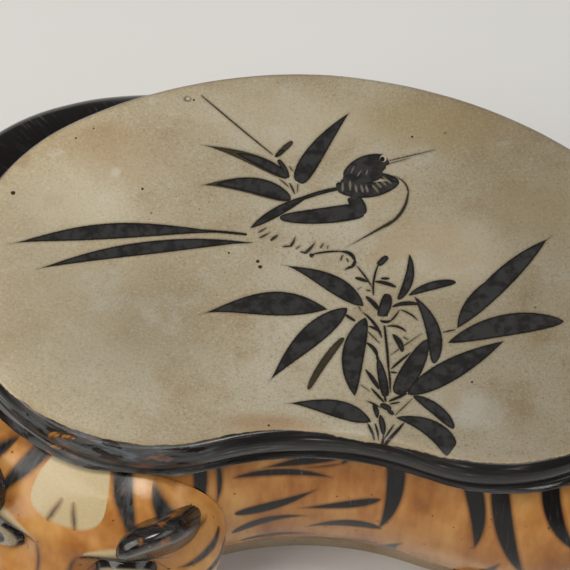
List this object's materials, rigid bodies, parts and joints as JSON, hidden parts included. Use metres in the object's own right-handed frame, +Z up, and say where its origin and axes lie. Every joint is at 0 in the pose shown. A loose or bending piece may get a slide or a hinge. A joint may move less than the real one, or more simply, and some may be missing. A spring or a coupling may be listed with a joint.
{
  "type": "ceramic pillow",
  "caption": "Hollow glazed stoneware headrest pillow in the form of a crouching tiger, with a dished kidney-shaped top on its back and a flat unglazed base.",
  "frame": {"origin": "on the flat underside, halfway between the upright axes of the two end lobes of the headrest", "axes": "+X from the head end to the rump end, +Y to the back, +Z up"},
  "size_m": [0.3571, 0.251, 0.1234],
  "materials": {
    "cream_headrest": "cream slip with brown-black painting under clear glaze, dark brown glaze on the rim",
    "amber_glaze": "amber glaze with black-brown stripes",
    "dark_glaze": "black-brown glaze",
    "white_slip": "white slip under clear glaze, with a dark pupil",
    "bare_clay": "unglazed buff stoneware"
  },
  "bodies": {
    "root": {"base_slab": "bare_clay", "front_wall": "amber_glaze", "back_wall": "amber_glaze", "headrest": "cream_headrest", "head": "amber_glaze", "left_ear": "dark_glaze", "right_ear": "dark_glaze", "left_eye": "white_slip", "right_eye": "white_slip", "nose": "dark_glaze", "left_forepaw": "amber_glaze", "right_forepaw": "amber_glaze", "front_hind_paw": "amber_glaze", "back_hind_paw": "amber_glaze", "tail": "amber_glaze", "base_coil": "bare_clay", "headrest_coil": "bare_clay", "head_end_strip": "bare_clay", "rump_end_strip": "bare_clay"}
  },
  "joints": []
}
